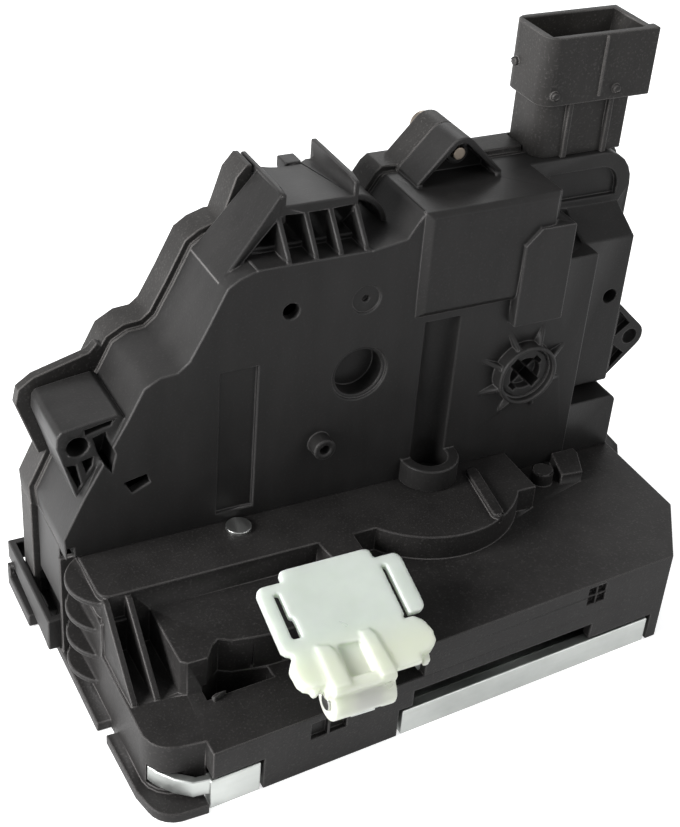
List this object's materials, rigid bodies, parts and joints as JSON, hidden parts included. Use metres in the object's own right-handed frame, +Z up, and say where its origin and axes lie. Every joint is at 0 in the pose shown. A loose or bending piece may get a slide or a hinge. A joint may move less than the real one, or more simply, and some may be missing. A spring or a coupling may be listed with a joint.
{
  "type": "car door lock",
  "caption": "Side-door latch for a car: steel plate with striker mouth, claw and pawl in a moulded base, upright two-shell actuator housing, plug socket, key socket and handle clip.",
  "frame": {"origin": "the striker's rest point in the closed claw, on the outer face of the steel plate", "axes": "+X along the plate and along the housing's front panel, +Y towards the inside of the car, so the striker leaves along +Y and the handle clip and the key socket face -Y, +Z up from the plate to the plug socket"},
  "size_m": [0.1458, 0.082, 0.117],
  "materials": {
    "zinc_steel": "bright zinc plate on pressed sheet, faint grain",
    "turned_steel": "turned and plated",
    "hard_steel": "hardened and ground steel",
    "spring_steel": "drawn spring wire",
    "black_plastic": "black glass-filled nylon, mould grain",
    "grey_plastic": "dark grey-brown filled nylon, dull",
    "claw_plastic": "smooth moulded elastomer",
    "natural_nylon": "undyed nylon, pale and translucent, smooth",
    "buffer_rubber": "matt rubber",
    "carrier_plastic": "smooth black",
    "contact_brass": "bright",
    "motor_can": "drawn steel can",
    "white_acetal": "smooth white acetal",
    "slider_plastic": "smooth dark acetal",
    "switch_plastic": "smooth dark plastic"
  },
  "bodies": {
    "base": {"backplate": "zinc_steel", "fixing_bushes": "turned_steel", "latch_housing": "black_plastic", "support_plate": "zinc_steel", "claw_pin": "turned_steel", "pawl_pin": "turned_steel", "striker_buffer": "buffer_rubber", "cable_bracket": "black_plastic", "shelf_rivet": "turned_steel", "front_cover": "black_plastic", "screw_ear": "black_plastic", "rear_housing": "grey_plastic", "housing_screws": "turned_steel", "connector_housing": "grey_plastic", "contact_carrier": "carrier_plastic", "contact_pins": "contact_brass", "lock_motor": "motor_can", "microswitch": "switch_plastic", "inside_pin": "turned_steel"},
    "claw_body": {"claw": "hard_steel", "claw_jacket": "claw_plastic", "claw_spring": "spring_steel"},
    "pawl_body": {"pawl": "hard_steel", "pawl_spring": "spring_steel"},
    "lever_body": {"release_lever": "zinc_steel", "clip_pin": "turned_steel"},
    "clip_body": {"rod_clip": "natural_nylon"},
    "key_body": {"key_hub": "black_plastic"},
    "wheel_body": {"worm_wheel": "white_acetal"},
    "worm_body": {"worm": "contact_brass"},
    "slider_body": {"lock_slider": "slider_plastic"},
    "inside_body": {"inside_lever": "zinc_steel"}
  },
  "joints": [
    {"name": "claw_turn", "type": "hinge", "parent": "base", "child": "claw_body", "pos_m": [0.018, 0, 0.0056], "axis": [0, 0, 1], "range_deg": [0, 58], "stiffness_Nm_per_rad": 0.15},
    {"name": "pawl_turn", "type": "hinge", "parent": "base", "child": "pawl_body", "pos_m": [-0.01611, -0.0034, 0.0056], "axis": [0, 0, 1], "range_deg": [0, 9], "stiffness_Nm_per_rad": 0.15},
    {"name": "lever_pull", "type": "hinge", "parent": "base", "child": "lever_body", "pos_m": [-0.01611, -0.0034, 0.0162], "axis": [0, 0, 1], "range_deg": [-9, 0], "stiffness_Nm_per_rad": 0.2},
    {"name": "clip_tilt", "type": "hinge", "parent": "lever_body", "child": "clip_body", "pos_m": [-0.0366, -0.0462, 0.0196], "axis": [1, 0, 0], "range_deg": [-8, 12]},
    {"name": "key_turn", "type": "hinge", "parent": "base", "child": "key_body", "pos_m": [0.0223, 0, 0.0493], "axis": [0, 1, 0], "range_deg": [-45, 45]},
    {"name": "wheel_turn", "type": "hinge", "parent": "base", "child": "wheel_body", "pos_m": [-0.0029, 0.0116, 0.054], "axis": [0, 1, 0], "range_deg": [0, 47.8]},
    {"name": "worm_spin", "type": "hinge", "parent": "base", "child": "worm_body", "pos_m": [0.013, 0.0116, 0.054], "axis": [0, 0, 1], "range_deg": [0, 1242]},
    {"name": "lock_slide", "type": "slide", "parent": "base", "child": "slider_body", "axis": [0, 0, 1], "range_m": [0, 0.005]},
    {"name": "inside_turn", "type": "hinge", "parent": "base", "child": "inside_body", "pos_m": [-0.052, 0.0266, 0.044], "axis": [0, 1, 0], "range_deg": [0, 30], "stiffness_Nm_per_rad": 0.2}
  ],
  "couplings": [
    {"joint": "wheel_turn", "follows": "lock_slide", "rad_per_m": 166.67},
    {"joint": "worm_spin", "follows": "lock_slide", "rad_per_m": 4333.3}
  ]
}
